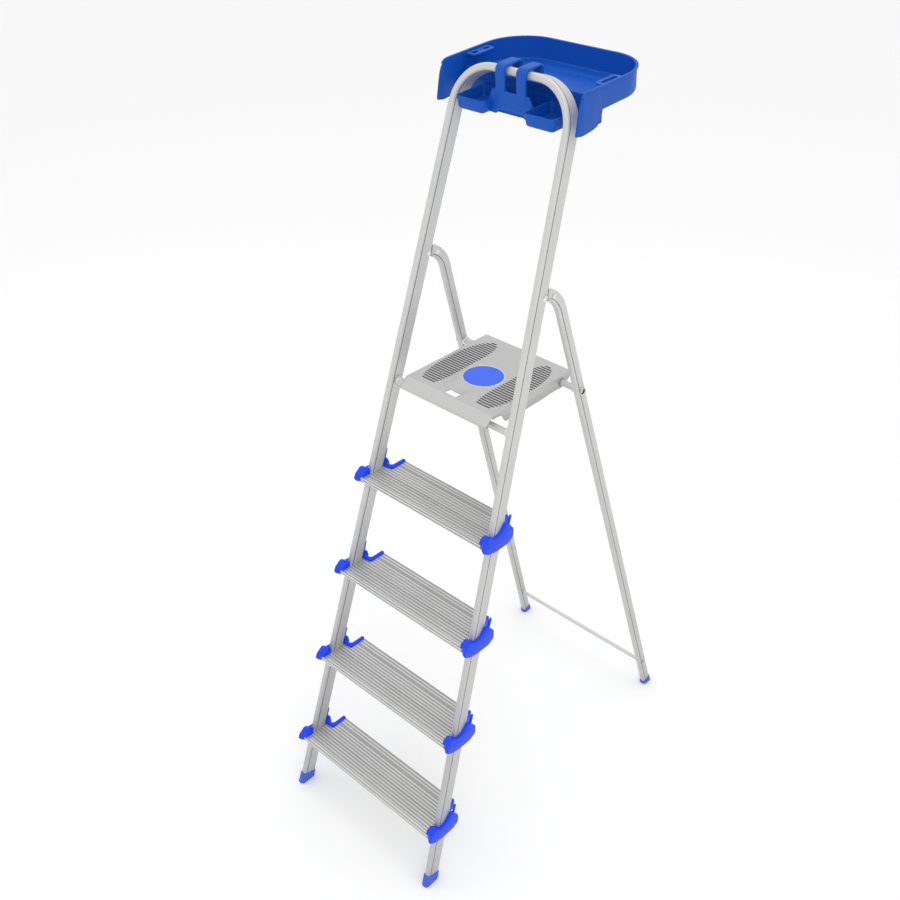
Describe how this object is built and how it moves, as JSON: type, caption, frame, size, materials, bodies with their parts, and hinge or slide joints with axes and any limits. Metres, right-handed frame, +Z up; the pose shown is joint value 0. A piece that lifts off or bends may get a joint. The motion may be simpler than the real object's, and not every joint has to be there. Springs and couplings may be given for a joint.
{
  "type": "step ladder",
  "caption": "Folding household step ladder with ribbed treads, a standing platform, a bow hand rail and a clip-on tool tray.",
  "frame": {"origin": "on the floor, in the middle of the ladder's width and midway between the front of the front feet and the back of the rear feet", "axes": "+Z up; +X to the climber's right; +Y from the climber towards the rear legs"},
  "size_m": [0.4716, 0.9414, 1.7828],
  "materials": {
    "tube_aluminium": "satin anodised tube",
    "ribbed_aluminium": "ribbed satin extrusion",
    "platform_sheet": "pressed sheet, fine satin grain",
    "rivets": "bright turned metal",
    "hinge_casting": "cast, matt",
    "bracket_plastic": "bright blue moulded plastic",
    "foot_plastic": "bright blue moulded plastic with a grippy sole",
    "disc_plastic": "bright blue smooth plastic",
    "bush_plastic": "dark nylon",
    "tray_plastic": "deep blue moulded plastic"
  },
  "bodies": {
    "front": {"front_frame": "tube_aluminium", "tread_1": "ribbed_aluminium", "tread_2": "ribbed_aluminium", "tread_3": "ribbed_aluminium", "tread_4": "ribbed_aluminium", "bracket_left_1": "bracket_plastic", "bracket_left_2": "bracket_plastic", "bracket_left_3": "bracket_plastic", "bracket_left_4": "bracket_plastic", "bracket_right_1": "bracket_plastic", "bracket_right_2": "bracket_plastic", "bracket_right_3": "bracket_plastic", "bracket_right_4": "bracket_plastic", "bracket_rivets": "rivets", "front_foot_left": "foot_plastic", "front_foot_right": "foot_plastic", "front_rod": "tube_aluminium", "front_rod_collars": "rivets", "pivot_rivet_left": "rivets", "pivot_rivet_right": "rivets", "tray": "tray_plastic", "tool_holder_left": "tray_plastic", "tool_holder_right": "tray_plastic"},
    "rear": {"rear_leg_left": "tube_aluminium", "rear_leg_right": "tube_aluminium", "hinge_plug_left": "hinge_casting", "hinge_plug_right": "hinge_casting", "hinge_plug_rivets": "rivets", "rear_rod": "tube_aluminium", "rear_rod_collars": "rivets", "lower_bar": "tube_aluminium", "rear_foot_left": "foot_plastic", "rear_foot_right": "foot_plastic"},
    "platform": {"platform": "platform_sheet", "platform_disc": "disc_plastic", "platform_bushes": "bush_plastic"}
  },
  "joints": [
    {"name": "rear_fold", "type": "hinge", "parent": "front", "child": "rear", "pos_m": [0, -0.04058, 1.378], "axis": [-1, 0, 0], "range_deg": [0, 32]},
    {"name": "platform_tilt", "type": "hinge", "parent": "rear", "child": "platform", "pos_m": [0, 0.08984, 1.115], "axis": [-1, 0, 0], "range_deg": [0, 73.7]}
  ],
  "couplings": [
    {"joint": "platform_tilt", "follows": "rear_fold", "ratio": 2.3}
  ]
}
